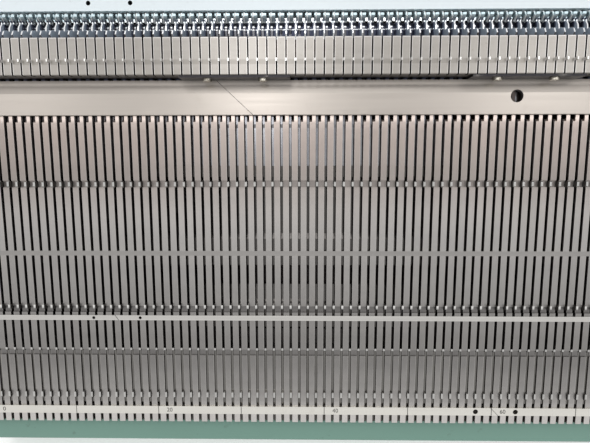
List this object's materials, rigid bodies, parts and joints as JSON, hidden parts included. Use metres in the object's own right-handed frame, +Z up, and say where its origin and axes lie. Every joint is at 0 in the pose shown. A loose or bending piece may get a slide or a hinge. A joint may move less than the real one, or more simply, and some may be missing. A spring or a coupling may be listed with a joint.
{
  "type": "flat knitting machine needle bed",
  "caption": "Needle bed unit of a flat V-bed knitting machine: two sloping beds with needles, jacks, selectors and sinkers on a cast base.",
  "frame": {"origin": "middle of the base's underside, on the floor", "axes": "+X along the beds to the right, +Y from the front bed to the rear bed, +Z up"},
  "size_m": [0.418, 0.3556, 0.2238],
  "materials": {
    "green_paint": "satin",
    "bed_steel": "satin",
    "strip_steel": "satin",
    "sinker_steel": "satin",
    "needle_steel": "polished",
    "jack_steel": "satin",
    "dark_steel": "blackened",
    "rail_finish": "satin"
  },
  "bodies": {
    "base": {"base_casting": "green_paint", "front_bed": "bed_steel", "front_bed_bolts": "dark_steel", "front_sinker_bar": "bed_steel", "front_sinker_wire": "dark_steel", "front_keeper_plates": "dark_steel", "front_keeper_screws": "dark_steel", "front_cover_strip_left": "strip_steel", "front_cover_strip_right": "strip_steel", "front_flush_strip": "strip_steel", "front_jack_strip_left": "strip_steel", "front_jack_strip_right": "strip_steel", "front_scale_strip_left": "strip_steel", "front_scale_strip_right": "strip_steel"},
    "rear_bed": {"rear_bed": "bed_steel", "rear_bed_bolts": "dark_steel", "rear_comb_plates": "sinker_steel", "rear_rail": "rail_finish", "rear_cover_strip": "strip_steel", "rear_flush_strip": "strip_steel", "rear_jack_strip": "strip_steel", "rear_scale_strip": "strip_steel"},
    "front_needle_bank": {"front_needles": "needle_steel", "front_needle_jacks": "jack_steel"},
    "front_lifting_bank": {"front_lifting_jacks": "jack_steel"},
    "front_selector_bank": {"front_selectors": "jack_steel"},
    "front_sinker_bank": {"front_sinkers": "sinker_steel"},
    "rear_needle_bank": {"rear_needles": "needle_steel", "rear_needle_jacks": "jack_steel"},
    "rear_lifting_bank": {"rear_lifting_jacks": "jack_steel"},
    "rear_selector_bank": {"rear_selectors": "jack_steel"},
    "needle_unit_1": {"needle_1": "needle_steel", "needle_jack_1": "jack_steel"},
    "latch_1": {"latch_1": "needle_steel"},
    "lifting_jack_1": {"lifting_jack_1": "jack_steel"},
    "selector_1": {"selector_1": "jack_steel"},
    "sinker_1": {"sinker_1": "sinker_steel"},
    "needle_unit_2": {"needle_2": "needle_steel", "needle_jack_2": "jack_steel"},
    "latch_2": {"latch_2": "needle_steel"},
    "lifting_jack_2": {"lifting_jack_2": "jack_steel"},
    "selector_2": {"selector_2": "jack_steel"},
    "sinker_2": {"sinker_2": "sinker_steel"},
    "needle_unit_3": {"needle_3": "needle_steel", "needle_jack_3": "jack_steel"},
    "latch_3": {"latch_3": "needle_steel"},
    "lifting_jack_3": {"lifting_jack_3": "jack_steel"},
    "selector_3": {"selector_3": "jack_steel"},
    "sinker_3": {"sinker_3": "sinker_steel"}
  },
  "joints": [
    {"name": "rear_bed_rack", "type": "slide", "parent": "base", "child": "rear_bed", "axis": [1, 0, 0], "range_m": [-0.00508, 0.00508]},
    {"name": "front_needle_bank_slide", "type": "slide", "parent": "base", "child": "front_needle_bank", "axis": [0, 0.7071, 0.7071], "range_m": [0, 0.02]},
    {"name": "front_lifting_bank_slide", "type": "slide", "parent": "base", "child": "front_lifting_bank", "axis": [0, 0.7071, 0.7071], "range_m": [0, 0.01]},
    {"name": "front_selector_bank_slide", "type": "slide", "parent": "base", "child": "front_selector_bank", "axis": [0, 0.7071, 0.7071], "range_m": [0, 0.008]},
    {"name": "front_sinker_bank_swing", "type": "hinge", "parent": "base", "child": "front_sinker_bank", "pos_m": [0, -0.02424, 0.20155], "axis": [1, 0, 0], "range_deg": [0, 7]},
    {"name": "rear_needle_bank_slide", "type": "slide", "parent": "rear_bed", "child": "rear_needle_bank", "axis": [0, -0.7071, 0.7071], "range_m": [0, 0.02]},
    {"name": "rear_lifting_bank_slide", "type": "slide", "parent": "rear_bed", "child": "rear_lifting_bank", "axis": [0, -0.7071, 0.7071], "range_m": [0, 0.01]},
    {"name": "rear_selector_bank_slide", "type": "slide", "parent": "rear_bed", "child": "rear_selector_bank", "axis": [0, -0.7071, 0.7071], "range_m": [0, 0.008]},
    {"name": "needle_1_slide", "type": "slide", "parent": "base", "child": "needle_unit_1", "axis": [0, 0.7071, 0.7071], "range_m": [0, 0.02]},
    {"name": "latch_1_swing", "type": "hinge", "parent": "needle_unit_1", "child": "latch_1", "pos_m": [-0.0127, -0.00983, 0.20779], "axis": [1, 0, 0], "range_deg": [0, 160]},
    {"name": "lifting_jack_1_slide", "type": "slide", "parent": "base", "child": "lifting_jack_1", "axis": [0, 0.7071, 0.7071], "range_m": [0, 0.01]},
    {"name": "selector_1_slide", "type": "slide", "parent": "base", "child": "selector_1", "axis": [0, 0.7071, 0.7071], "range_m": [0, 0.008]},
    {"name": "sinker_1_swing", "type": "hinge", "parent": "base", "child": "sinker_1", "pos_m": [-0.0127, -0.02424, 0.20155], "axis": [1, 0, 0], "range_deg": [0, 7]},
    {"name": "needle_2_slide", "type": "slide", "parent": "base", "child": "needle_unit_2", "axis": [0, 0.7071, 0.7071], "range_m": [0, 0.02]},
    {"name": "latch_2_swing", "type": "hinge", "parent": "needle_unit_2", "child": "latch_2", "pos_m": [-0.00762, -0.00983, 0.20779], "axis": [1, 0, 0], "range_deg": [0, 160]},
    {"name": "lifting_jack_2_slide", "type": "slide", "parent": "base", "child": "lifting_jack_2", "axis": [0, 0.7071, 0.7071], "range_m": [0, 0.01]},
    {"name": "selector_2_slide", "type": "slide", "parent": "base", "child": "selector_2", "axis": [0, 0.7071, 0.7071], "range_m": [0, 0.008]},
    {"name": "sinker_2_swing", "type": "hinge", "parent": "base", "child": "sinker_2", "pos_m": [-0.00762, -0.02424, 0.20155], "axis": [1, 0, 0], "range_deg": [0, 7]},
    {"name": "needle_3_slide", "type": "slide", "parent": "base", "child": "needle_unit_3", "axis": [0, 0.7071, 0.7071], "range_m": [0, 0.02]},
    {"name": "latch_3_swing", "type": "hinge", "parent": "needle_unit_3", "child": "latch_3", "pos_m": [-0.00254, -0.00983, 0.20779], "axis": [1, 0, 0], "range_deg": [0, 160]},
    {"name": "lifting_jack_3_slide", "type": "slide", "parent": "base", "child": "lifting_jack_3", "axis": [0, 0.7071, 0.7071], "range_m": [0, 0.01]},
    {"name": "selector_3_slide", "type": "slide", "parent": "base", "child": "selector_3", "axis": [0, 0.7071, 0.7071], "range_m": [0, 0.008]},
    {"name": "sinker_3_swing", "type": "hinge", "parent": "base", "child": "sinker_3", "pos_m": [-0.00254, -0.02424, 0.20155], "axis": [1, 0, 0], "range_deg": [0, 7]}
  ]
}
